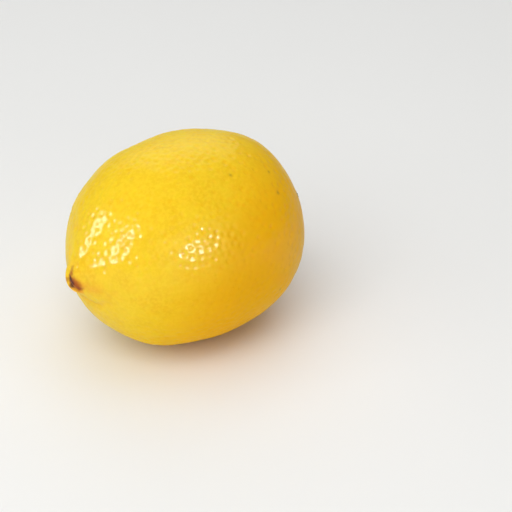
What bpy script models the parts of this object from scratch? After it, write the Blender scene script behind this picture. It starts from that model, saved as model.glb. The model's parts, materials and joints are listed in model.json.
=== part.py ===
"""A whole lemon lying on its side, in metres, +Z up.

The long axis runs along X, with the nipple at the blossom end towards -X and the stem towards +X.
The origin is on the small flat spot that the fruit rests on, under the fruit's widest place.
"""

import math
import random

import bmesh
import bpy
import numpy as np
from mathutils import Matrix

# Driving sizes of the fruit, in metres
HALF_WIDTH = 0.0310  # long axis to the skin, where the fruit is widest
REST_DROP = 0.0305  # long axis down to the flat resting spot
TIP_LENGTH = 0.0355  # widest place to the blossom end, without the nipple
STEM_LENGTH = 0.0358  # widest place to the stem end, without the neck
TIP_FULLNESS = 2.05  # 2 is an ellipse, more is blunter
STEM_FULLNESS = 2.56

# Nipple, steep below and flaring gently into the body above, with a crescent scar in a shallow bowl
NIPPLE_HEIGHT = 0.0038
NIPPLE_RADIUS = 0.0041
FLARE_RADIUS = 0.0085
FLARE_SIDE = math.radians(110)
FLARE_LEAST = 0.22
SCAR_SIDE = math.radians(141)  # angle about the long axis, 0 at +Y and 90 degrees at the top
SCAR_OFFSET = 0.0029  # long axis to the middle of the bowl
SCAR_RADIUS = 0.0034
SCAR_WIDTH = 0.0007
SCAR_DEPTH = 0.0006
BOWL_DEPTH = 0.00035

# Furrow that winds out from under the nipple along the lower front
FURROW_DEPTH = 0.0007
FURROW_WIDTH = 0.0014
FURROW_SIDE = math.radians(240)
FURROW_REACH = math.radians(42)
FURROW_START = math.radians(260)
FURROW_NEAR = 0.0060  # long axis to the furrow where it starts
FURROW_FAR = 0.0115  # the same, a sixth of a turn further on

# Neck at the stem end, with the dimple that holds the button
NECK_HEIGHT = 0.0046
NECK_RADIUS = 0.0085
DIMPLE_DEPTH = 0.0030
DIMPLE_RADIUS = 0.0053
WRINKLES = 9
WRINKLE_HEIGHT = 0.00022
WRINKLE_RING = 0.0078
WRINKLE_WIDTH = 0.0026

# Broad swells and hollows: degrees from the blossom end, degrees about the axis, height
SWELL_SPREAD = math.radians(13)
SWELLS = (
    (143, 92, 0.00041),
    (124, 70, -0.00037),
    (100, 58, 0.00036),
    (84, 51, -0.00022),
    (68, 48, 0.00041),
    (51, 40, -0.00023),
    (43, 33, 0.00049),
    (34, 21, -0.00020),
    (5, 294, 0.00043),
    (26, 286, 0.00022),
    (55, 242, 0.00040),
    (76, 237, -0.00043),
    (88, 226, 0.00021),
)
FAR_SWELLS = 14  # seeded ones on the far side
FAR_SWELL_HEIGHT = 0.0004
FAR_SIDE = (0.485, 0.684, -0.545)

# Oil glands, seen as shallow pits
PIT_DEPTH = 0.00016
PIT_SPREAD = (0.5, 1.4)
SEED = 7

# Mesh of the fruit
SKIN_CUTS = 20
END_ZONE = math.radians(13)  # the two ends get a finer mesh
PLAIN_ENDS = 0.0075  # no pits this near the long axis at the two ends
SNAP = 0.0001

# Stem button
BUTTON_GAP = 0.0003
CALYX_RADIUS = 0.0039
CALYX_LOBES = 5
CALYX_LOBE_SHARE = 0.12
CALYX_THICKNESS = 0.0010
STUB_RADIUS = 0.0018
STUB_LENGTH = 0.0042
BUTTON_SIDES = 40


def clear_scene():
    for old in list(bpy.data.objects):
        bpy.data.objects.remove(old)


def material(name, colour, roughness):
    """A Principled BSDF with its colour in linear values."""
    new = bpy.data.materials.new(name)
    new.use_nodes = True
    shader = new.node_tree.nodes["Principled BSDF"]
    shader.inputs["Base Color"].default_value = (*colour, 1.0)
    shader.inputs["Roughness"].default_value = roughness
    shader.inputs["Metallic"].default_value = 0.0
    return new


def add_object(name, mesh, finish):
    for face in mesh.faces:
        face.smooth = True
    data = bpy.data.meshes.new(name)
    mesh.to_mesh(data)
    mesh.free()
    data.materials.append(finish)
    data.set_sharp_from_angle(angle=math.radians(35))
    new = bpy.data.objects.new(name, data)
    bpy.context.scene.collection.objects.link(new)
    return new


def bell(value, width, power=2):
    """1 at zero, falling smoothly to nothing past the width; a higher power is flatter on top."""
    return np.exp(-np.abs(value / width) ** power)


def direction(along, about):
    """Unit direction at an angle from the blossom end and an angle about the long axis."""
    return np.array((-math.cos(along), math.sin(along) * math.cos(about), math.sin(along) * math.sin(about)))


def far_swells():
    """Seeded swells on the side that faces away from the front, as direction and height."""
    draw = random.Random(SEED)
    found = []
    while len(found) < FAR_SWELLS:
        way = np.array([draw.gauss(0, 1) for _ in range(3)])
        way /= np.linalg.norm(way)
        if way @ np.array(FAR_SIDE) > 0.25 and abs(way[0]) < 0.9:
            found.append((way, draw.uniform(-1, 1) * FAR_SWELL_HEIGHT))
    return found


def nipple_lift(from_axis, about):
    """Height that the nipple, its scar and the furrow add at the blossom end."""
    forward = from_axis * np.cos(about - SCAR_SIDE) - SCAR_OFFSET
    sideways = from_axis * np.sin(about - SCAR_SIDE)
    ring = np.hypot(forward, sideways)
    far_half = 0.5 - 0.5 * forward / np.maximum(ring, SNAP)
    turn = (about - FURROW_SIDE + math.pi) % math.tau - math.pi
    wound = np.maximum(FURROW_START - FURROW_SIDE - turn, 0) / (math.tau / 6)
    furrow_ring = FURROW_NEAR + (FURROW_FAR - FURROW_NEAR) * wound
    steep = bell(from_axis, NIPPLE_RADIUS, 4)
    flare = FLARE_LEAST + (1 - FLARE_LEAST) * (0.5 + 0.5 * np.cos(about - FLARE_SIDE))
    return (
        NIPPLE_HEIGHT * (steep + flare * (bell(from_axis, FLARE_RADIUS) - steep))
        - BOWL_DEPTH * bell(ring, SCAR_RADIUS, 4)
        - SCAR_DEPTH * far_half * bell(ring - SCAR_RADIUS, SCAR_WIDTH)
        - FURROW_DEPTH * bell(turn, FURROW_REACH) * bell(from_axis - furrow_ring, FURROW_WIDTH)
    )


def neck_lift(from_axis, about):
    """Height that the neck, its wrinkles and the dimple add at the stem end."""
    wrinkles = WRINKLE_HEIGHT * np.cos(WRINKLES * about) * bell(from_axis - WRINKLE_RING, WRINKLE_WIDTH)
    return (
        NECK_HEIGHT * bell(from_axis, NECK_RADIUS)
        - DIMPLE_DEPTH * bell(from_axis, DIMPLE_RADIUS, 4)
        + wrinkles
    )


def skin(ways):
    """Points of the skin along unit directions from the middle of the fruit."""
    to_tip = -ways[:, 0]
    out = np.hypot(ways[:, 1], ways[:, 2])
    about = np.arctan2(ways[:, 2], ways[:, 1])
    at_tip = to_tip > 0
    length = np.where(at_tip, TIP_LENGTH, STEM_LENGTH)
    fullness = np.where(at_tip, TIP_FULLNESS, STEM_FULLNESS)
    reach = ((np.abs(to_tip) / length) ** fullness + (out / HALF_WIDTH) ** fullness) ** (-1 / fullness)
    from_axis = reach * out
    reach += np.where(at_tip, nipple_lift(from_axis, about), neck_lift(from_axis, about))
    front = [(direction(math.radians(a), math.radians(b)), height) for a, b, height in SWELLS]
    for way, height in front + far_swells():
        reach += height * bell(np.arccos(np.clip(ways @ way, -1, 1)), SWELL_SPREAD)
    return ways * reach[:, None]


def ball():
    """A unit ball of even triangles, finer at both ends of the X axis."""
    mesh = bmesh.new()
    pole_to_x = Matrix.Rotation(math.radians(90), 4, "Y")
    bmesh.ops.create_icosphere(mesh, subdivisions=1, radius=1, matrix=pole_to_x)
    bmesh.ops.subdivide_edges(mesh, edges=mesh.edges[:], cuts=SKIN_CUTS, use_grid_fill=True)
    for vert in mesh.verts:
        vert.co.normalize()
    near_end = math.cos(END_ZONE)
    ends = [edge for edge in mesh.edges if all(abs(vert.co.x) > near_end for vert in edge.verts)]
    bmesh.ops.subdivide_edges(mesh, edges=ends, cuts=1, use_grid_fill=True)
    bmesh.ops.triangulate(mesh, faces=mesh.faces[:])
    for vert in mesh.verts:
        vert.co.normalize()
    return mesh


def press_pits(mesh):
    """Presses seeded vertices inwards, none beside another, for the oil glands."""
    draw = random.Random(SEED)
    verts = list(mesh.verts)
    draw.shuffle(verts)
    taken = set()
    for vert in verts:
        near_axis = math.hypot(vert.co.y, vert.co.z) < PLAIN_ENDS
        beside = any(edge.other_vert(vert) in taken for edge in vert.link_edges)
        if near_axis or beside:
            continue
        taken.add(vert)
        vert.co -= vert.co.normalized() * PIT_DEPTH * draw.uniform(*PIT_SPREAD)


def flatten_rest(mesh):
    """Cuts the flat resting spot and sets the fruit down on it."""
    everything = mesh.verts[:] + mesh.edges[:] + mesh.faces[:]
    cut = bmesh.ops.bisect_plane(
        mesh, geom=everything, dist=SNAP, plane_co=(0, 0, -REST_DROP), plane_no=(0, 0, -1), clear_outer=True
    )
    for vert in mesh.verts:
        vert.co.z = max(vert.co.z, -REST_DROP)
    rim = [item for item in cut["geom_cut"] if isinstance(item, bmesh.types.BMEdge)]
    bmesh.ops.contextual_create(mesh, geom=rim)
    bmesh.ops.recalc_face_normals(mesh, faces=mesh.faces[:])
    bmesh.ops.translate(mesh, vec=(0, 0, REST_DROP), verts=mesh.verts[:])


def build_fruit():
    mesh = ball()
    ways = np.array([vert.co for vert in mesh.verts])
    for vert, place in zip(mesh.verts, skin(ways)):
        vert.co = place
    press_pits(mesh)
    flatten_rest(mesh)
    add_object("fruit", mesh, material("rind", (0.90, 0.60, 0.03), 0.35))


def button_profile():
    """Rings of the button from its underside to the cut end: radius, height and how much it is lobed."""
    rim = CALYX_RADIUS
    stub_foot = CALYX_THICKNESS * 1.15
    stub_end = CALYX_THICKNESS + STUB_LENGTH
    return (
        (0.45 * rim, 0.0, 0.0),
        (0.85 * rim, 0.00002, 0.6),
        (rim, 0.00022, 1.0),
        (rim, 0.00062, 1.0),
        (0.86 * rim, 0.92 * CALYX_THICKNESS, 0.8),
        (1.30 * STUB_RADIUS, stub_foot, 0.3),
        (1.02 * STUB_RADIUS, stub_foot + 0.0007, 0.12),
        (0.94 * STUB_RADIUS, 0.55 * stub_end, 0.10),
        (1.04 * STUB_RADIUS, stub_end - 0.0003, 0.14),
        (0.90 * STUB_RADIUS, stub_end, 0.14),
        (0.40 * STUB_RADIUS, stub_end - 0.0002, 0.0),
    )


def build_button():
    """The lobed calyx and the cut stub, turned about the long axis as one closed solid."""
    mesh = bmesh.new()
    rings = []
    for radius, height, lobed in button_profile():
        ring = []
        for side in range(BUTTON_SIDES):
            turn = math.tau * side / BUTTON_SIDES
            reach = radius * (1 + CALYX_LOBE_SHARE * lobed * math.cos(CALYX_LOBES * turn))
            ring.append(mesh.verts.new((reach * math.cos(turn), reach * math.sin(turn), height)))
        rings.append([mesh.edges.new((ring[i - 1], ring[i])) for i in range(BUTTON_SIDES)])
    for lower, upper in zip(rings, rings[1:]):
        bmesh.ops.bridge_loops(mesh, edges=lower + upper)
    bmesh.ops.contextual_create(mesh, geom=rings[0])
    bmesh.ops.contextual_create(mesh, geom=rings[-1])
    bmesh.ops.recalc_face_normals(mesh, faces=mesh.faces[:])
    button = add_object("stem_button", mesh, material("dry_stem", (0.16, 0.13, 0.06), 0.8))
    dimple_floor = STEM_LENGTH + NECK_HEIGHT - DIMPLE_DEPTH
    button.rotation_euler = (0, math.radians(90), 0)
    button.location = (dimple_floor + BUTTON_GAP, 0, REST_DROP)


clear_scene()
build_fruit()
build_button()
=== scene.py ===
"""Looks of a whole lemon lying on its side on a plain pale floor, in metres, +Z up.

The long axis runs along X, with the nipple towards -X and the stem towards +X. The skin is one fine mesh,
shaped by a formula, with every oil gland pressed into it. The dried stem button is a second piece.
"""

from __future__ import annotations

import json
import logging
import math
import random
from dataclasses import dataclass, field
from enum import Enum

import bpy
import numpy as np
from mathutils import Matrix, Vector, kdtree, noise

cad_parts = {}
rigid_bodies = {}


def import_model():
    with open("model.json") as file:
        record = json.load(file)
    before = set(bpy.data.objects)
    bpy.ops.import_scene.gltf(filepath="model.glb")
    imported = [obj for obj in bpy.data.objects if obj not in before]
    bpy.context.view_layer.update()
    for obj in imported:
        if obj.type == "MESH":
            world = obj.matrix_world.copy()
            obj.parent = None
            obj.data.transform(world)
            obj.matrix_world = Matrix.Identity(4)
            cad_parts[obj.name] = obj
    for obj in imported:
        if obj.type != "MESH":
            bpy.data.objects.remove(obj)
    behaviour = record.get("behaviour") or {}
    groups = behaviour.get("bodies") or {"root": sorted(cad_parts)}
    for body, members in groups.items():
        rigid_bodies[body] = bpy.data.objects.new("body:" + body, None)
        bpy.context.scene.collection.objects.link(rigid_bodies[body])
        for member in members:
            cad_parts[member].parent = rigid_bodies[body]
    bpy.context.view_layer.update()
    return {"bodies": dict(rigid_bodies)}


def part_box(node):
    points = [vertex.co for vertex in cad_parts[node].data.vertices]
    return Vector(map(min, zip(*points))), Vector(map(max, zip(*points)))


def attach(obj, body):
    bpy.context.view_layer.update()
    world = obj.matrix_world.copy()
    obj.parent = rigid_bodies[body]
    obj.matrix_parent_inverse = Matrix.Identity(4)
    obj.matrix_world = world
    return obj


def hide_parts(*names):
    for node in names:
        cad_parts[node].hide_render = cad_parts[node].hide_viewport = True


LOG = logging.getLogger("lemon")
MM = 0.001
PHOTO_SIDE = 512  # pixels
SENSOR = 36.0  # millimetres
MIX_SHARE, MIX_FIRST, MIX_SECOND, MIX_RESULT = 0, 6, 7, 2  # a colour mix node's inputs and output
NOISE_SHIFT = (7.3, 3.1, 5.7)  # how far each next seed moves the noise
NOISE_ROUGHNESS = 0.55
BROAD, FLAT = 3, 4  # powers that flatten the top of a bell
WHITE = (1.0, 1.0, 1.0, 1.0)

Colour = tuple[float, float, float, float]
Span = tuple[float, float]  # two ends of a range
Way = tuple[float, float, float]  # a direction from the fruit's middle
Blot = tuple[float, float, float, float]  # place forward, place sideways, radius, strength
Socket = bpy.types.NodeSocket


def srgb(red: int, green: int, blue: int) -> Colour:
    """Turns a colour as seen on screen into the linear values that a shader takes.

    Args:
        red: Red, 0 to 255.
        green: Green, 0 to 255.
        blue: Blue, 0 to 255.

    Returns:
        The linear colour with an alpha of 1.
    """
    def channel(value: int) -> float:
        """One channel made linear."""
        share = value / 255
        return share / 12.92 if share <= 0.04045 else ((share + 0.055) / 1.055) ** 2.4  # the sRGB curve

    return channel(red), channel(green), channel(blue), 1.0


def bell(value: np.ndarray, width: float, power: float = 2) -> np.ndarray:
    """1 at zero, falling smoothly to nothing past the width; a higher power is flatter on top."""
    return np.exp(-np.abs(value / width) ** power)


def ramp(value: np.ndarray, low: float, high: float) -> np.ndarray:
    """A smooth step from 0 at low to 1 at high."""
    share = np.clip((value - low) / (high - low), 0, 1)
    return share * share * (3 - 2 * share)


def direction(along: float, about: float) -> np.ndarray:
    """Unit direction from the fruit's middle.

    Args:
        along: Degrees from the blossom end, which points to -X.
        about: Degrees about the long axis, 0 at +Y and 90 at the top.

    Returns:
        The direction as three numbers.
    """
    a, b = math.radians(along), math.radians(about)
    return np.array((-math.cos(a), math.sin(a) * math.cos(b), math.sin(a) * math.sin(b)))


def heading(azimuth: float, elevation: float) -> Vector:
    """Unit vector towards something seen at an azimuth and elevation, in degrees."""
    a, e = math.radians(azimuth), math.radians(elevation)
    return Vector((math.sin(a) * math.cos(e), -math.cos(a) * math.cos(e), math.sin(e)))


def unit(rows: np.ndarray) -> np.ndarray:
    """Each row as a direction of length 1."""
    return rows / np.linalg.norm(rows, axis=1)[:, None]


def about_axis(points: np.ndarray) -> tuple[np.ndarray, np.ndarray]:
    """Each point's distance from the long axis, and its angle about it."""
    return np.hypot(points[:, 1], points[:, 2]), np.arctan2(points[:, 2], points[:, 1])


def turn_from(about: np.ndarray, side: float) -> np.ndarray:
    """The angle from a side, up to half a turn either way."""
    return (about - side + math.pi) % math.tau - math.pi


def finder(points: np.ndarray) -> kdtree.KDTree:
    """A tree that finds the nearest of these points."""
    tree = kdtree.KDTree(len(points))
    for number, point in enumerate(points):
        tree.insert(point, number)
    tree.balance()
    return tree


def clouds(points: np.ndarray, size: float, seed: int) -> np.ndarray:
    """Soft noise at each point, from about -1 to 1.

    Args:
        points: The points, one a row.
        size: Width of a cloud.
        seed: Picks one of many like patterns.

    Returns:
        One number for each point.
    """
    shift = Vector([seed * step for step in NOISE_SHIFT])
    return np.array([noise.noise(Vector(point) / size + shift) for point in points])


def pick_nothing() -> None:
    """Leaves edit mode and deselects every object."""
    if bpy.context.mode != "OBJECT":
        bpy.ops.object.mode_set(mode="OBJECT")
    bpy.ops.object.select_all(action="DESELECT")


def named(name: str) -> bpy.types.Object:
    """Names the object that an operator has just made, and its mesh."""
    piece = bpy.context.object
    piece.name = name
    piece.data.name = name
    return piece


def read_points(piece: bpy.types.Object) -> np.ndarray:
    """The points of a piece's mesh, one a row."""
    points = np.empty(len(piece.data.vertices) * 3)
    piece.data.vertices.foreach_get("co", points)
    return points.reshape(-1, 3)


def write_points(piece: bpy.types.Object, points: np.ndarray) -> None:
    """Moves the points of a piece's mesh to new places."""
    piece.data.vertices.foreach_set("co", points.ravel())
    piece.data.update()


def paint(piece: bpy.types.Object, name: str, values: np.ndarray) -> None:
    """Stores one number a point on a piece, for its finish to read."""
    layer = piece.data.attributes.new(name, "FLOAT", "POINT")
    layer.data.foreach_set("value", np.ascontiguousarray(values, dtype=np.float32))


class Mark(Enum):
    """The attributes that the pieces carry for their finishes."""

    GLAND = "gland"
    SCAR = "scar"
    CRUST = "crust"
    # the scar's orange halo, and painted shade on the nipple, in its furrow and beside it
    BLUSH_AND_SHADE = "blush_and_shade"
    NECK = "neck"
    SPECK = "speck"
    RUBBED = "rubbed"
    # painted shade: dark gold on the low right of the rind
    PAINTED_SHADE = "painted_shade"
    BARE = "bare"


class Seen(Enum):
    """Where a lamp's light shows."""

    SHADE = "matt shading only"
    WAX = "wax reflections only"


class Finish:
    """A material under construction: its node tree, with short ways to add and join nodes."""

    def __init__(self, name: str) -> None:
        """Starts a material with one Principled shader."""
        self.material = bpy.data.materials.new(name)
        self.material.use_nodes = True
        self.tree = self.material.node_tree
        self.shader = self.tree.nodes["Principled BSDF"]

    def add(self, kind: str, inputs: dict | None = None, **settings: object) -> bpy.types.Node:
        """Adds a node.

        Args:
            kind: The name of the node's type.
            inputs: Values or sockets, by the name or number of the input that takes them.
            settings: The node's own properties.

        Returns:
            The node.
        """
        node = self.tree.nodes.new(kind)
        for key, value in settings.items():
            setattr(node, key, value)
        self.feed(node, inputs or {})
        return node

    def feed(self, node: bpy.types.Node, inputs: dict) -> None:
        """Sets or joins a node's inputs.

        Args:
            node: The node that takes them.
            inputs: Values or sockets, by the name or number of the input.
        """
        for key, value in inputs.items():
            if isinstance(value, Socket):
                self.tree.links.new(value, node.inputs[key])
            else:
                node.inputs[key].default_value = value

    def place(self) -> Socket:
        """Object coordinates."""
        return self.add("ShaderNodeTexCoord").outputs["Object"]

    def attribute(self, which: Mark) -> Socket:
        """A number that the piece carries at each point."""
        return self.add("ShaderNodeAttribute", attribute_name=which.value).outputs["Fac"]

    def clouds(self, size: float, detail: float = 2.0) -> Socket:
        """Noise whose clouds are about this wide, from 0 to 1."""
        inputs = {"Scale": 1 / size, "Detail": detail, "Roughness": NOISE_ROUGHNESS}
        return self.add("ShaderNodeTexNoise", {"Vector": self.place(), **inputs}).outputs["Fac"]

    def stretch(self, value: Socket, span: Span, to: Span = (0.0, 1.0)) -> Socket:
        """Spreads a number over a new range, smoothly and without passing its ends.

        Args:
            value: The number.
            span: The range that it's read over.
            to: The range that it's spread over.

        Returns:
            The spread number.
        """
        ends = {"From Min": span[0], "From Max": span[1], "To Min": to[0], "To Max": to[1]}
        node = self.add("ShaderNodeMapRange", {"Value": value, **ends}, interpolation_type="SMOOTHSTEP")
        return node.outputs["Result"]

    def times(self, value: Socket, factor: Socket | float) -> Socket:
        """A number times another."""
        return self.add("ShaderNodeMath", {0: value, 1: factor}, operation="MULTIPLY").outputs[0]

    def blend(self, share: Socket, first: Socket | Colour, second: Socket | Colour) -> Socket:
        """Mixes two colours.

        Args:
            share: How much of the second, 0 to 1.
            first: Colour or socket.
            second: Colour or socket.

        Returns:
            The mixed colour.
        """
        node = self.add("ShaderNodeMix", data_type="RGBA")
        self.feed(node, {MIX_SHARE: share, MIX_FIRST: first, MIX_SECOND: second})
        return node.outputs[MIX_RESULT]

    def bump(
        self, height: Socket, depth: float, strength: float = 1.0, under: Socket | None = None
    ) -> Socket:
        """Bumps the surface.

        Args:
            height: The height, 0 to 1.
            depth: How far the surface rises from 0 to 1.
            strength: How much of the bump shows.
            under: A normal that is bumped already.

        Returns:
            The bumped normal.
        """
        inputs = {"Height": height, "Distance": depth, "Strength": strength}
        if under is not None:
            inputs["Normal"] = under
        return self.add("ShaderNodeBump", inputs).outputs["Normal"]


@dataclass(frozen=True)
class RindFinish:
    """Waxed yellow rind: mottled colour, darker glands, a brown scar with an orange halo, an olive neck,
    and painted shade in orange about the nipple and in dark gold low on the right.
    """

    yellow: Colour = srgb(241, 203, 36)
    deep: Colour = srgb(237, 195, 30)
    pale: Colour = srgb(247, 210, 46)
    # painted shade: the dark gold laid on the low right of the rind
    painted_shade: Colour = srgb(245, 180, 2)
    gland: Colour = srgb(236, 172, 6)
    # orange for the scar's halo, and for painted shade on the nipple, in its furrow and beside it
    blush_and_shade: Colour = srgb(238, 150, 36)
    neck: Colour = srgb(196, 176, 50)
    speck: Colour = srgb(150, 110, 40)
    scar: Colour = srgb(168, 88, 38)
    crust: Colour = srgb(70, 42, 44)
    mottle_size: float = 9 * MM
    mottle_span: Span = (0.35, 0.65)
    fleck_size: float = 1.0 * MM
    fleck_span: Span = (0.38, 0.64)
    fleck_share: float = 0.6
    gland_tint: float = 0.06
    pore_size: float = 1.0 * MM
    pore_depth: float = 0.035 * MM
    grain_size: float = 0.4 * MM
    grain_depth: float = 0.02 * MM
    grain_strength: float = 0.5
    rough_span: Span = (0.3, 0.7)
    roughness: Span = (0.36, 0.48)
    gloss: float = 0.05
    refraction: float = 1.45
    wax_span: Span = (0.35, 0.85)
    wax: Span = (0.44, 0.16)  # facing the eye, and at the rim
    wax_rubbed: float = 0.12  # share that is left where the wax is rubbed
    wax_roughness: float = 0.1
    glow: float = 0.6
    glow_depth: float = 4 * MM
    glow_reach: tuple[float, float, float] = (1.0, 0.5, 0.1)  # of red, green and blue

    def material(self) -> bpy.types.Material:
        """Builds the rind's material.

        Returns:
            The material.
        """
        finish = Finish("rind")
        broad = finish.stretch(finish.clouds(self.mottle_size), self.mottle_span)
        fine = finish.stretch(finish.clouds(self.fleck_size), self.fleck_span, (0.0, self.fleck_share))
        colour = finish.blend(broad, self.yellow, self.deep)
        colour = finish.blend(fine, colour, self.pale)
        glands = finish.times(finish.attribute(Mark.GLAND), self.gland_tint)
        colour = finish.blend(glands, colour, self.gland)
        for which, tint in (
            (Mark.PAINTED_SHADE, self.painted_shade),
            (Mark.BLUSH_AND_SHADE, self.blush_and_shade),
            (Mark.NECK, self.neck),
            (Mark.SPECK, self.speck),
            (Mark.SCAR, self.scar),
            (Mark.CRUST, self.crust),
        ):
            colour = finish.blend(finish.attribute(which), colour, tint)
        pores = finish.bump(finish.clouds(self.pore_size, 0.0), self.pore_depth)
        grain = finish.bump(finish.clouds(self.grain_size), self.grain_depth, self.grain_strength, pores)
        edge = finish.add("ShaderNodeLayerWeight").outputs["Facing"]
        kept = finish.stretch(finish.attribute(Mark.RUBBED), (0.0, 1.0), (1.0, self.wax_rubbed))
        finish.feed(finish.shader, {
            "Base Color": colour,
            "Roughness": finish.stretch(finish.clouds(self.fleck_size), self.rough_span, self.roughness),
            "Normal": grain,
            "IOR": self.refraction,
            "Specular IOR Level": self.gloss,
            "Coat Weight": finish.times(finish.stretch(edge, self.wax_span, self.wax), kept),
            "Coat Roughness": self.wax_roughness,
            "Coat IOR": self.refraction,
            "Subsurface Weight": self.glow,
            "Subsurface Radius": self.glow_reach,
            "Subsurface Scale": self.glow_depth,
        })
        return finish.material


@dataclass(frozen=True)
class DryStemFinish:
    """Dried stem: olive grey with brown fibres and no gloss."""

    olive: Colour = srgb(128, 118, 74)
    brown: Colour = srgb(96, 72, 42)
    pale: Colour = srgb(178, 160, 112)
    patch_size: float = 1.4 * MM
    patch_span: Span = (0.35, 0.65)
    fibre_size: float = 0.35 * MM
    fibre_detail: float = 4.0
    fibre_span: Span = (0.35, 0.7)
    fibre_share: float = 0.5
    fibre_depth: float = 0.12 * MM
    fibre_strength: float = 0.8
    roughness: float = 0.82

    def material(self) -> bpy.types.Material:
        """Builds the dried stem's material.

        Returns:
            The material.
        """
        finish = Finish("dry_stem")
        patches = finish.stretch(finish.clouds(self.patch_size), self.patch_span)
        fibres = finish.stretch(finish.clouds(self.fibre_size, self.fibre_detail), self.fibre_span)
        colour = finish.blend(patches, self.olive, self.brown)
        colour = finish.blend(finish.times(fibres, self.fibre_share), colour, self.pale)
        colour = finish.blend(finish.attribute(Mark.BARE), colour, self.pale)
        finish.feed(finish.shader, {
            "Base Color": colour,
            "Roughness": self.roughness,
            "Normal": finish.bump(fibres, self.fibre_depth, self.fibre_strength),
        })
        return finish.material


@dataclass(frozen=True)
class FloorFinish:
    """Plain matt white of a studio table."""

    white: Colour = srgb(240, 240, 238)
    grain_size: float = 6 * MM
    grain_span: Span = (0.3, 0.7)
    roughness: Span = (0.78, 0.86)

    def material(self) -> bpy.types.Material:
        """Builds the floor's material.

        Returns:
            The material.
        """
        finish = Finish("studio_floor")
        grain = finish.stretch(finish.clouds(self.grain_size), self.grain_span, self.roughness)
        finish.feed(finish.shader, {"Base Color": self.white, "Roughness": grain})
        return finish.material


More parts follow.
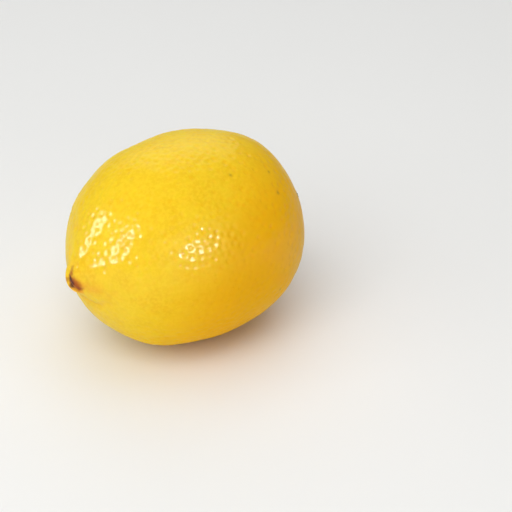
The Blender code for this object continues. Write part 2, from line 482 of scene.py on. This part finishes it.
@dataclass
class Skin:
    """The fruit's skin, from the middle of the fruit outwards. Every size is in metres."""

    # Oval body: its fullness is 2 for an ellipse, and more for a blunter end
    half_width: float = 31.0 * MM
    tip_length: float = 35.5 * MM
    stem_length: float = 35.8 * MM
    tip_fullness: float = 2.05
    stem_fullness: float = 2.56
    # Nipple, which flares into the body on one side
    nipple_height: float = 3.8 * MM
    nipple_radius: float = 4.1 * MM
    flare_radius: float = 8.5 * MM
    flare_side: float = math.radians(110)
    flare_least: float = 0.22
    # Scar: half a ring in a shallow bowl, off the nipple's middle
    scar_side: float = math.radians(141)
    scar_offset: float = 2.9 * MM
    scar_radius: float = 3.4 * MM
    scar_width: float = 0.7 * MM
    scar_depth: float = 0.6 * MM
    scar_least: float = 0.1 * MM  # keeps a division off zero
    bowl_depth: float = 0.35 * MM
    # Furrow, which winds outwards beside the nipple
    furrow_depth: float = 0.7 * MM
    furrow_width: float = 1.4 * MM
    furrow_side: float = math.radians(240)
    furrow_reach: float = math.radians(42)
    furrow_start: float = math.radians(260)
    furrow_near: float = 6.0 * MM
    furrow_far: float = 11.5 * MM
    furrow_turn: float = math.tau / 6
    # Neck, its wrinkles and the dimple that the stem button sits in
    neck_height: float = 4.6 * MM
    neck_radius: float = 8.5 * MM
    dimple_depth: float = 3.0 * MM
    dimple_radius: float = 5.3 * MM
    wrinkles: int = 9
    wrinkle_height: float = 0.22 * MM
    wrinkle_ring: float = 7.8 * MM
    wrinkle_width: float = 2.6 * MM
    # Swells: degrees from the blossom end, degrees about the long axis, and height in millimetres
    swell_spread: float = math.radians(13)
    swells: tuple[tuple[float, float, float], ...] = (
        (143, 92, 0.41),
        (124, 70, -0.37),
        (100, 58, 0.36),
        (84, 51, -0.22),
        (68, 48, 0.41),
        (51, 40, -0.23),
        (43, 33, 0.49),
        (34, 21, -0.20),
        (5, 294, 0.43),
        (26, 286, 0.22),
        (55, 242, 0.40),
        (76, 237, -0.43),
        (88, 226, 0.21),
    )
    # Seeded swells, which face the far side and stay off the ends
    far_swells: int = 14
    far_swell_height: float = 0.4 * MM
    far_side: Way = (0.485, 0.684, -0.545)
    far_from: float = 0.25
    ends_from: float = 0.9
    seed: int = 7

    def seeded_swells(self) -> list[tuple[np.ndarray, float]]:
        """Swells on the side that faces away from the front.

        Returns:
            The direction and height of each.
        """
        draw = random.Random(self.seed)
        found: list[tuple[np.ndarray, float]] = []
        while len(found) < self.far_swells:
            way = np.array([draw.gauss(0, 1) for _ in range(3)])
            way /= np.linalg.norm(way)
            if way @ np.array(self.far_side) > self.far_from and abs(way[0]) < self.ends_from:
                found.append((way, draw.uniform(-1, 1) * self.far_swell_height))
        return found

    def scar_place(self, from_axis: np.ndarray, about: np.ndarray) -> tuple[np.ndarray, np.ndarray]:
        """Where points lie against the middle of the scar's ring.

        Args:
            from_axis: Distance from the long axis.
            about: Angle about it.

        Returns:
            Distance towards the ring's near side, and distance sideways.
        """
        forward = from_axis * np.cos(about - self.scar_side) - self.scar_offset
        return forward, from_axis * np.sin(about - self.scar_side)

    def furrow_line(self, from_axis: np.ndarray, about: np.ndarray) -> np.ndarray:
        """How strongly the furrow marks each point.

        Args:
            from_axis: Distance from the long axis.
            about: Angle about it.

        Returns:
            The strength, from 0 to 1.
        """
        turn = turn_from(about, self.furrow_side)
        wound = np.maximum(self.furrow_start - self.furrow_side - turn, 0) / self.furrow_turn
        ring = self.furrow_near + (self.furrow_far - self.furrow_near) * wound
        return bell(turn, self.furrow_reach) * bell(from_axis - ring, self.furrow_width)

    def nipple_lift(self, from_axis: np.ndarray, about: np.ndarray) -> np.ndarray:
        """Height that the nipple, its scar and the furrow add at the blossom end.

        Args:
            from_axis: Distance from the long axis.
            about: Angle about it.

        Returns:
            The height at each point.
        """
        steep = bell(from_axis, self.nipple_radius, FLAT)
        turned = 0.5 + 0.5 * np.cos(about - self.flare_side)
        flare = self.flare_least + (1 - self.flare_least) * turned
        forward, sideways = self.scar_place(from_axis, about)
        ring = np.hypot(forward, sideways)
        far_half = 0.5 - 0.5 * forward / np.maximum(ring, self.scar_least)
        return (
            self.nipple_height * (steep + flare * (bell(from_axis, self.flare_radius) - steep))
            - self.bowl_depth * bell(ring, self.scar_radius, FLAT)
            - self.scar_depth * far_half * bell(ring - self.scar_radius, self.scar_width)
            - self.furrow_depth * self.furrow_line(from_axis, about)
        )

    def neck_lift(self, from_axis: np.ndarray, about: np.ndarray) -> np.ndarray:
        """Height that the neck, its wrinkles and the dimple add at the stem end.

        Args:
            from_axis: Distance from the long axis.
            about: Angle about it.

        Returns:
            The height at each point.
        """
        wrinkles = np.cos(self.wrinkles * about) * bell(from_axis - self.wrinkle_ring, self.wrinkle_width)
        return (
            self.neck_height * bell(from_axis, self.neck_radius)
            - self.dimple_depth * bell(from_axis, self.dimple_radius, FLAT)
            + self.wrinkle_height * wrinkles
        )

    def points(self, ways: np.ndarray) -> np.ndarray:
        """Points of the skin along unit directions from the middle of the fruit.

        Args:
            ways: Unit directions, one a row.

        Returns:
            The points, one a row.
        """
        to_tip = -ways[:, 0]
        out, about = about_axis(ways)
        at_tip = to_tip > 0
        length = np.where(at_tip, self.tip_length, self.stem_length)
        full = np.where(at_tip, self.tip_fullness, self.stem_fullness)
        reach = ((np.abs(to_tip) / length) ** full + (out / self.half_width) ** full) ** (-1 / full)
        from_axis = reach * out
        reach += np.where(at_tip, self.nipple_lift(from_axis, about), self.neck_lift(from_axis, about))
        front = [(direction(along, turn), height * MM) for along, turn, height in self.swells]
        for way, height in front + self.seeded_swells():
            reach += height * bell(np.arccos(np.clip(ways @ way, -1, 1)), self.swell_spread)
        return ways * reach[:, None]


@dataclass
class Fruit:
    """The whole fruit: its skin as a fine mesh, its oil glands, and what its finish reads."""

    body: str
    rest_drop: float = 30.5 * MM
    skin: Skin = field(default_factory=Skin)
    seed: int = 11
    # Mesh, cut finer in a zone about the blossom end
    cuts: int = 92
    tip_cuts: int = 3
    tip_zone: float = 0.15  # of the ball's radius
    rest_merge: float = 0.001 * MM  # how near the cut a point counts as on it
    # Oil glands, which their neighbours push apart in rounds, and a ripple over the whole skin
    glands: int = 2200
    gland_spacing: float = 2.7 * MM
    gland_radius: Span = (0.60 * MM, 0.95 * MM)
    gland_depth: Span = (0.09 * MM, 0.28 * MM)
    gland_overlap: int = 2
    settle_rounds: int = 7
    settle_neighbours: int = 5
    settle_push: float = 0.28
    settle_least: float = 0.01 * MM  # keeps a division off zero
    plain_ends: Span = (4.5 * MM, 7.5 * MM)
    ripple: float = 0.06 * MM
    ripple_size: float = 5.5 * MM
    ripple_seed: int = 1
    # Specks, each by its degrees from the blossom end and about the long axis
    specks: tuple[tuple[float, float], ...] = (
        (126, 125), (125, 139), (102, 121), (118, 200), (80, 20), (110, 330), (58, 300), (140, 250),
    )
    speck_radius: float = 0.45 * MM
    speck_size: Span = (0.7, 1.3)
    speck_strength: Span = (0.4, 0.75)
    speck_reach: float = 0.99  # cosine of the angle that a speck lies within
    # Wax rubbed off low in front, and painted shade in dark gold low on the right: a direction, and two
    # cosines off it
    rubbed_way: Way = (-0.15, -0.79, -0.59)
    rubbed_span: Span = (0.45, 0.85)
    painted_shade_way: Way = (0.66, -0.56, -0.50)
    painted_shade_span: Span = (-0.25, 0.70)
    # Olive tint at the stem end
    stem_from: float = 30 * MM
    olive_radius: float = 6.4 * MM
    olive_strength: float = 0.75
    olive_change: float = 0.5
    olive_patch: float = 2.2 * MM
    olive_seed: int = 5
    # Orange at the blossom end: the scar's halo, which is the skin's own colour, and painted shade on the
    # nipple, in the furrow and in a soft band out from the nipple
    tip_to: float = -28 * MM
    halo_blush: float = 0.6
    nipple_shade: float = 0.1
    nipple_shade_radius: float = 8 * MM
    furrow_shade: float = 0.15
    shade_blush: float = 0.3
    shade_side: float = math.radians(183)
    shade_width: float = 1.7 * MM
    shade_start: Span = (4.5 * MM, 6.5 * MM)
    shade_end: Span = (8 * MM, 13 * MM)
    # Scar, its dark crust and its halo, with frayed edges
    fray: float = 0.25 * MM
    fray_share: float = 0.3
    fray_size: float = 0.9 * MM
    fray_seed: int = 3
    scar_blots: tuple[Blot, ...] = (
        (-0.5 * MM, -3.1 * MM, 0.80 * MM, 0.4),
        (-0.8 * MM, -2.6 * MM, 0.90 * MM, 0.6),
        (-1.2 * MM, -2.0 * MM, 0.95 * MM, 0.8),
        (-2.3 * MM, -0.9 * MM, 1.10 * MM, 1.0),
        (-2.5 * MM, 0.0 * MM, 1.60 * MM, 1.0),
        (-2.0 * MM, 0.9 * MM, 2.10 * MM, 1.0),
        (-1.5 * MM, 1.6 * MM, 1.95 * MM, 1.0),
        (-1.5 * MM, 2.5 * MM, 1.30 * MM, 1.0),
        (-4.4 * MM, -0.8 * MM, 0.80 * MM, 0.6),
    )
    crust_blots: tuple[Blot, ...] = (
        (-2.3 * MM, -1.1 * MM, 0.70 * MM, 0.8),
        (-2.5 * MM, -0.3 * MM, 1.05 * MM, 1.0),
        (-2.2 * MM, 0.6 * MM, 0.95 * MM, 0.9),
        (-3.4 * MM, 1.3 * MM, 0.90 * MM, 0.8),
        (-1.6 * MM, 2.8 * MM, 0.60 * MM, 0.35),
    )
    halo_blots: tuple[Blot, ...] = (
        (-0.8 * MM, 2.0 * MM, 2.10 * MM, 0.8),
        (-2.0 * MM, 3.5 * MM, 1.20 * MM, 1.0),
        (-3.6 * MM, 2.2 * MM, 1.50 * MM, 0.6),
    )

    def ball(self) -> bpy.types.Object:
        """A unit ball of even triangles, with a corner at each end of the X axis.

        Returns:
            The ball.
        """
        pick_nothing()
        bpy.ops.mesh.primitive_ico_sphere_add(subdivisions=1, radius=1, rotation=(0, math.radians(90), 0))
        piece = named("fruit_rind")
        bpy.ops.object.transform_apply(location=True, rotation=True, scale=True)
        bpy.ops.object.mode_set(mode="EDIT")
        bpy.ops.mesh.select_all(action="SELECT")
        bpy.ops.mesh.subdivide(number_cuts=self.cuts)
        bpy.ops.mesh.select_all(action="DESELECT")
        bpy.ops.object.mode_set(mode="OBJECT")
        for face in piece.data.polygons:
            face.select = face.center.x < 0 and math.hypot(face.center.y, face.center.z) < self.tip_zone
        bpy.ops.object.mode_set(mode="EDIT")
        bpy.ops.mesh.subdivide(number_cuts=self.tip_cuts, ngon=False)
        bpy.ops.object.mode_set(mode="OBJECT")
        return piece

    def gland_centres(self) -> np.ndarray:
        """Directions of the oil glands, seeded and then pushed apart until they lie evenly.

        Returns:
            Unit directions, one a row.
        """
        draw = np.random.default_rng(self.seed)
        ways = unit(draw.normal(size=(self.glands, 3)))
        for _ in range(self.settle_rounds):
            places = self.skin.points(ways)
            tree = finder(places)
            moved = places.copy()
            for number, place in enumerate(places):
                for near, _index, gap in tree.find_n(place, self.settle_neighbours + 1)[1:]:
                    push = max(self.gland_spacing - gap, 0) * self.settle_push
                    moved[number] += (place - np.array(near)) / max(gap, self.settle_least) * push
            ways = unit(moved)
        return ways

    def gland_marks(self, points: np.ndarray) -> tuple[np.ndarray, np.ndarray]:
        """How deep and how strongly the oil glands mark each point.

        Args:
            points: Points of the skin, from the middle of the fruit.

        Returns:
            The depth at each point, and the strength from 0 to 1.
        """
        draw = np.random.default_rng(self.seed + 1)
        centres = self.skin.points(self.gland_centres())
        radius = draw.uniform(*self.gland_radius, size=len(centres))
        depth = draw.uniform(*self.gland_depth, size=len(centres))
        tree = finder(centres)
        found = [tree.find_n(point, self.gland_overlap) for point in points]
        depths = np.zeros(len(points))
        strength = np.zeros(len(points))
        for rank in range(self.gland_overlap):
            number = np.array([near[rank][1] for near in found])
            gap = np.array([near[rank][2] for near in found])
            pit = np.exp(-(gap / radius[number]) ** 2)
            depths += depth[number] * pit
            strength = np.maximum(strength, pit)
        return depths, strength

    def blots(
        self, forward: np.ndarray, sideways: np.ndarray, rough: np.ndarray, places: tuple[Blot, ...]
    ) -> np.ndarray:
        """A stain made of soft round blots that run into each other.

        Args:
            forward: How far each point lies towards the scar's near side.
            sideways: How far it lies sideways.
            rough: Noise that frays the stain's edge.
            places: The blots.

        Returns:
            The stain's strength at each point, from 0 to 1.
        """
        stain = np.zeros(len(forward))
        for ahead, aside, radius, strength in places:
            fray = min(self.fray, self.fray_share * radius)
            gap = np.hypot(forward - ahead, sideways - aside) + fray * rough
            stain = np.maximum(stain, strength * bell(np.maximum(gap, 0), radius, FLAT))
        return stain

    def side_shade(self, from_axis: np.ndarray, about: np.ndarray) -> np.ndarray:
        """Strength of the soft shade that runs out from the nipple on the near side.

        Args:
            from_axis: Distance from the long axis.
            about: Angle about it.

        Returns:
            The strength at each point, from 0 to 1.
        """
        reach = ramp(from_axis, *self.shade_start) * (1 - ramp(from_axis, *self.shade_end))
        return reach * bell(turn_from(about, self.shade_side) * from_axis, self.shade_width)

    def scar_marks(self, points: np.ndarray) -> dict[Mark, np.ndarray]:
        """The scar's red-brown band and dark crust, the orange halo around it, and painted shade on the
        nipple, in its furrow and beside it.

        Args:
            points: Points of the skin, from the middle of the fruit.

        Returns:
            Each mark's strength at each point, from 0 to 1.
        """
        at_tip = points[:, 0] < self.tip_to
        from_axis, about = about_axis(points)
        forward, sideways = self.skin.scar_place(from_axis, about)
        rough = clouds(points, self.fray_size, self.fray_seed)
        scar = self.blots(forward, sideways, rough, self.scar_blots)
        crust = self.blots(forward, sideways, rough, self.crust_blots)
        # The halo is the skin's own colour; the nipple, furrow and side terms are painted shade.
        blush_and_shade = (
            self.halo_blush * self.blots(forward, sideways, 0 * rough, self.halo_blots)
            + self.nipple_shade * bell(from_axis, self.nipple_shade_radius, BROAD)
            + self.furrow_shade * self.skin.furrow_line(from_axis, about)
            + self.shade_blush * self.side_shade(from_axis, about)
        )
        return {
            Mark.SCAR: scar * at_tip,
            Mark.CRUST: crust * at_tip,
            Mark.BLUSH_AND_SHADE: np.clip(blush_and_shade, 0, 1) * at_tip,
        }

    def neck_mark(self, points: np.ndarray) -> np.ndarray:
        """Strength of the olive tint in the dimple and on the neck.

        Args:
            points: Points of the skin, from the middle of the fruit.

        Returns:
            The strength at each point, from 0 to 1.
        """
        patches = clouds(points, self.olive_patch, self.olive_seed)
        olive = bell(about_axis(points)[0], self.olive_radius, BROAD)
        olive *= self.olive_strength + self.olive_change * patches
        return np.clip(olive, 0, 1) * (points[:, 0] > self.stem_from)

    def speck_mark(self, points: np.ndarray, ways: np.ndarray) -> np.ndarray:
        """Strength of the small brown specks.

        Args:
            points: Points of the skin, from the middle of the fruit.
            ways: Their directions.

        Returns:
            The strength at each point, from 0 to 1.
        """
        draw = random.Random(self.seed)
        mark = np.zeros(len(points))
        for along, about in self.specks:
            way = direction(along, about)
            near = ways @ way > self.speck_reach
            centre = self.skin.points(way[None])[0]
            gap = np.linalg.norm(points[near] - centre, axis=1)
            size = self.speck_radius * draw.uniform(*self.speck_size)
            speck = draw.uniform(*self.speck_strength) * np.exp(-(gap / size) ** 2)
            mark[near] = np.maximum(mark[near], speck)
        return mark

    def flatten_rest(self, piece: bpy.types.Object) -> None:
        """Cuts the flat resting spot.

        Args:
            piece: The fruit, with its lowest skin just under the floor.
        """
        bpy.ops.object.mode_set(mode="EDIT")
        bpy.ops.mesh.select_all(action="SELECT")
        bpy.ops.mesh.bisect(
            plane_co=(0, 0, 0),
            plane_no=(0, 0, -1),
            clear_outer=True,
            use_fill=True,
            threshold=self.rest_merge,
        )
        bpy.ops.object.mode_set(mode="OBJECT")
        LOG.info("%s rests on z = %.5f", piece.name, read_points(piece)[:, 2].min())

    def build(self, finish: RindFinish) -> bpy.types.Object:
        """Makes the rind and dresses it.

        Args:
            finish: The rind's finish.

        Returns:
            The finished piece.
        """
        piece = self.ball()
        ways = unit(read_points(piece))
        points = self.skin.points(ways)
        depths, strength = self.gland_marks(points)
        away = ramp(about_axis(points)[0], *self.plain_ends)
        ripples = self.ripple * clouds(points, self.ripple_size, self.ripple_seed)
        marks = self.scar_marks(points)
        marks[Mark.GLAND] = strength * away
        marks[Mark.NECK] = self.neck_mark(points)
        marks[Mark.SPECK] = self.speck_mark(points, ways)
        rubbed = ramp(ways @ np.array(self.rubbed_way), *self.rubbed_span)
        marks[Mark.RUBBED] = np.maximum(rubbed, marks[Mark.SCAR])
        # Painted shade: the rind turns dark gold towards the low right, the side away from the lamps.
        marks[Mark.PAINTED_SHADE] = ramp(ways @ np.array(self.painted_shade_way), *self.painted_shade_span)
        points -= ways * (depths * away - ripples)[:, None]
        write_points(piece, points + np.array((0, 0, self.rest_drop)))
        for which, values in marks.items():
            paint(piece, which.value, values)
        self.flatten_rest(piece)
        bpy.ops.object.shade_smooth()
        piece.data.materials.append(finish.material())
        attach(piece, self.body)
        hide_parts("fruit")
        LOG.info("%s: %d triangles", piece.name, len(piece.data.polygons))
        return piece


@dataclass
class StemButton:
    """The dried calyx with the stub of the cut stem, about the long axis at the stem end."""

    body: str
    axis_height: float
    foot: float
    calyx_radius: float = 3.9 * MM
    lobes: int = 5
    lobe_share: float = 0.12
    calyx_thickness: float = 1.0 * MM
    stub_radius: float = 1.8 * MM
    stub_length: float = 4.2 * MM
    stub_rise: float = 1.15  # of the calyx's thickness, where the stub starts
    sides: int = 120
    crease: float = math.radians(50)
    lobe_lift: float = 0.12 * MM
    lobe_rim: Span = (2.4 * MM, 3.9 * MM)
    # Grooves along the stub
    grooves: int = 11
    groove_turn: float = 0.6
    groove_share: float = 0.05
    groove_start: Span = (1.0 * MM, 2.0 * MM)
    # Shrivelling: the size, height and seed of each layer of folds
    folds: tuple[tuple[float, float, int], ...] = ((1.1 * MM, 0.10 * MM, 9), (0.45 * MM, 0.05 * MM, 4))
    fold_least: float = 0.6 * MM  # keeps a division off zero
    # Bare wood at the cut end: how far below the end it starts, how far out, and its strength
    bare_below: Span = (0.35 * MM, 0.05 * MM)
    bare_out: Span = (0.2 * MM, 0.6 * MM)
    bare_strength: float = 0.8

    @property
    def end(self) -> float:
        """Height of the cut end."""
        return self.calyx_thickness + self.stub_length

    def profile(self) -> list[tuple[float, float, float]]:
        """Rings from the sunk foot to the cut end.

        Returns:
            Each ring's radius, height and how much it is lobed.
        """
        rim, stub = self.calyx_radius, self.stub_radius
        stub_foot = self.calyx_thickness * self.stub_rise
        end = self.end
        return [
            (0.80 * rim, -0.25 * MM, 0.6),
            (0.97 * rim, 0.05 * MM, 1.0),
            (1.00 * rim, 0.30 * MM, 1.0),
            (0.99 * rim, 0.55 * MM, 1.0),
            (0.93 * rim, 0.78 * MM, 0.9),
            (0.86 * rim, 0.90 * MM, 0.8),
            (0.74 * rim, 0.96 * MM, 0.6),
            (1.45 * stub, stub_foot - 0.05 * MM, 0.4),
            (1.25 * stub, stub_foot + 0.15 * MM, 0.25),
            (1.10 * stub, stub_foot + 0.45 * MM, 0.15),
            (1.01 * stub, stub_foot + 0.85 * MM, 0.12),
            (0.95 * stub, 0.50 * end, 0.10),
            (0.94 * stub, 0.62 * end, 0.10),
            (0.98 * stub, 0.78 * end, 0.12),
            (1.04 * stub, 0.90 * end, 0.14),
            (1.04 * stub, end - 0.30 * MM, 0.14),
            (1.00 * stub, end - 0.08 * MM, 0.14),
            (0.90 * stub, end, 0.12),
            (0.72 * stub, end - 0.10 * MM, 0.06),
            (0.50 * stub, end - 0.22 * MM, 0.0),
            (0.25 * stub, end - 0.25 * MM, 0.0),
            (0.08 * stub, end - 0.20 * MM, 0.0),
        ]

    def turned(self) -> bpy.types.Object:
        """Extrudes a disc through every ring of the profile.

        Returns:
            The plain turned piece, standing on +Z.
        """
        rings = self.profile()
        pick_nothing()
        bpy.ops.mesh.primitive_circle_add(
            vertices=self.sides, radius=rings[0][0], fill_type="NGON", location=(0, 0, rings[0][1])
        )
        piece = named("stem_button_dry")
        bpy.ops.object.transform_apply(location=True, rotation=True, scale=True)
        bpy.ops.object.mode_set(mode="EDIT")
        bpy.ops.mesh.select_all(action="SELECT")
        for (radius, height, _), (next_radius, next_height, _) in zip(rings, rings[1:]):
            bpy.ops.mesh.extrude_region_move(
                TRANSFORM_OT_translate={"value": (0, 0, next_height - height)}
            )
            share = next_radius / radius
            bpy.ops.transform.resize(value=(share, share, 1))
        bpy.ops.mesh.select_all(action="SELECT")
        bpy.ops.mesh.normals_make_consistent(inside=False)
        bpy.ops.object.mode_set(mode="OBJECT")
        return piece

    def weather(self, points: np.ndarray) -> tuple[np.ndarray, np.ndarray]:
        """Lobes the calyx and shrivels the whole button.

        Args:
            points: Points of the plain turned piece.

        Returns:
            The new points, and how bare and pale the wood is at each, from 0 to 1.
        """
        rings = np.array(self.profile())
        around = np.arctan2(points[:, 1], points[:, 0])
        out = np.hypot(points[:, 0], points[:, 1])
        match = np.abs(points[:, 2][:, None] - rings[:, 1]) + np.abs(out[:, None] - rings[:, 0])
        lobed = rings[match.argmin(axis=1), 2]
        grooves = self.groove_share * np.cos(self.grooves * around + self.groove_turn)
        lobes = np.cos(self.lobes * around)
        share = 1 + self.lobe_share * lobed * lobes + grooves * ramp(points[:, 2], *self.groove_start)
        rough = sum(clouds(points, size, seed) * height for size, height, seed in self.folds)
        moved = points.copy()
        moved[:, :2] *= (share + rough / np.maximum(out, self.fold_least))[:, None]
        moved[:, 2] += rough + self.lobe_lift * lobes * ramp(out, *self.lobe_rim)
        high, low = self.bare_below
        bare = ramp(points[:, 2], self.end - high, self.end - low) * ramp(out, *self.bare_out)
        return moved, bare * self.bare_strength

    def build(self, finish: DryStemFinish) -> bpy.types.Object:
        """Makes the button and dresses it.

        Args:
            finish: The dried stem's finish.

        Returns:
            The finished piece.
        """
        piece = self.turned()
        points, bare = self.weather(read_points(piece))
        write_points(piece, points)
        paint(piece, Mark.BARE.value, bare)
        place = Matrix.Translation((self.foot, 0, self.axis_height))
        piece.data.transform(place @ Matrix.Rotation(math.radians(90), 4, "Y"))
        bpy.ops.object.shade_smooth_by_angle(angle=self.crease)
        piece.data.materials.append(finish.material())
        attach(piece, self.body)
        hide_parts("stem_button")
        LOG.info("%s: %d faces", piece.name, len(piece.data.polygons))
        return piece


@dataclass(frozen=True)
class Lamp:
    """A soft box that faces the fruit, in metres and watts.

    Angles are degrees, with azimuth 0 in front and 90 at the right.
    The fills only shade, so that the wax mirrors just the few boxes whose glints the skin shows.
    """

    name: str
    azimuth: float
    elevation: float
    distance: float
    width: float
    height: float
    power: float
    seen: Seen
    tilt: float = 0.0
    spread: float = 180.0

    def build(self, target: Vector) -> bpy.types.Object:
        """Hangs the lamp and turns it to the target.

        Args:
            target: The point that it lights.

        Returns:
            The lamp.
        """
        back = heading(self.azimuth, self.elevation)
        pick_nothing()
        bpy.ops.object.light_add(type="AREA", location=target + back * self.distance)
        lamp = bpy.context.object
        lamp.name = self.name
        level = back.to_track_quat("Z", "Y").to_matrix()
        lamp.rotation_euler = (level @ Matrix.Rotation(math.radians(self.tilt), 3, "Z")).to_euler()
        lamp.data.shape = "RECTANGLE"
        lamp.data.spread = math.radians(self.spread)
        lamp.data.size = self.width
        lamp.data.size_y = self.height
        lamp.data.energy = self.power
        lamp.visible_glossy = self.seen is not Seen.SHADE
        lamp.visible_diffuse = self.seen is not Seen.WAX
        LOG.info("%s: %.1f W", self.name, self.power)
        return lamp


@dataclass
class Studio:
    """Floor, lamps, room light and camera."""

    target: Vector
    floor_side: float = 3.0
    floor_drop: float = 0.1 * MM
    room_light: float = 0.15
    lamps: tuple[Lamp, ...] = (
        Lamp("window_far", -129, 22, 0.75, 0.16, 0.24, 2.0, Seen.WAX),
        Lamp("window_near", -88, 17, 0.80, 0.14, 0.30, 2.9, Seen.WAX),
        Lamp("window_edge", -84, 37, 0.80, 0.03, 0.18, 1.2, Seen.WAX),
        Lamp("lamp_front", -9, 20, 0.90, 0.20, 0.15, 3.8, Seen.WAX),
        Lamp("box_front", -12, 24, 0.90, 1.20, 0.70, 2.6, Seen.WAX),
        Lamp("panel_back", 147, 36, 1.00, 0.84, 1.05, 0.9, Seen.WAX, tilt=20, spread=95),
        Lamp("fill_top", 0, 89, 0.90, 1.20, 1.20, 4.9, Seen.SHADE),
        Lamp("fill_left", -54, 47, 1.00, 0.80, 0.80, 5.2, Seen.SHADE),
        Lamp("fill_front", -30, 14, 1.00, 0.80, 0.50, 0.8, Seen.SHADE),
        Lamp("fill_back", 140, 32, 1.00, 1.00, 0.90, 1.5, Seen.SHADE),
        Lamp("fill_side", -100, 30, 1.00, 0.80, 0.80, 1.7, Seen.SHADE),
    )
    camera_azimuth: float = -34.71
    camera_elevation: float = 31.29
    camera_distance: float = 0.58
    aim_right: float = 21.96 * MM
    aim_down: float = 5.87 * MM
    focal_pixels: float = 1948.7  # of the photograph

    def floor(self, finish: FloorFinish) -> bpy.types.Object:
        """Lays the floor just under the fruit.

        Args:
            finish: The floor's finish.

        Returns:
            The floor.
        """
        pick_nothing()
        bpy.ops.mesh.primitive_plane_add(size=self.floor_side, location=(0, 0, -self.floor_drop))
        floor = named("studio_floor")
        floor.data.materials.append(finish.material())
        return floor

    def camera(self) -> bpy.types.Object:
        """Sets the camera at the photograph's angle, with the fruit left of the frame's middle.

        Returns:
            The camera.
        """
        back = heading(self.camera_azimuth, self.camera_elevation)
        right = Vector((0, 0, 1)).cross(back).normalized()
        aim = self.target + right * self.aim_right - back.cross(right) * self.aim_down
        pick_nothing()
        bpy.ops.object.camera_add(location=self.target + back * self.camera_distance)
        camera = bpy.context.object
        camera.name = "camera"
        camera.rotation_euler = (aim - camera.location).to_track_quat("-Z", "Y").to_euler()
        camera.data.sensor_width = SENSOR
        camera.data.lens = self.focal_pixels * SENSOR / PHOTO_SIDE
        bpy.context.scene.camera = camera
        return camera

    def build(self, finish: FloorFinish) -> None:
        """Makes the whole studio.

        Args:
            finish: The floor's finish.
        """
        self.floor(finish)
        for lamp in self.lamps:
            lamp.build(self.target)
        world = bpy.data.worlds.new("room")
        world.use_nodes = True
        room = world.node_tree.nodes["Background"]
        room.inputs["Strength"].default_value = self.room_light
        room.inputs["Color"].default_value = WHITE
        bpy.context.scene.world = world
        bpy.context.scene.view_settings.view_transform = "Standard"
        self.camera()


def main() -> None:
    """Builds the lemon and its studio, and reports each piece."""
    logging.basicConfig(level=logging.INFO, format="%(message)s")
    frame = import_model()
    body = next(iter(frame["bodies"]))
    fruit = Fruit(body)
    fruit.build(RindFinish())
    low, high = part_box("stem_button")
    StemButton(body, axis_height=(low.z + high.z) / 2, foot=low.x).build(DryStemFinish())
    Studio(Vector((0, 0, fruit.rest_drop))).build(FloorFinish())


if __name__ == "__main__":
    main()
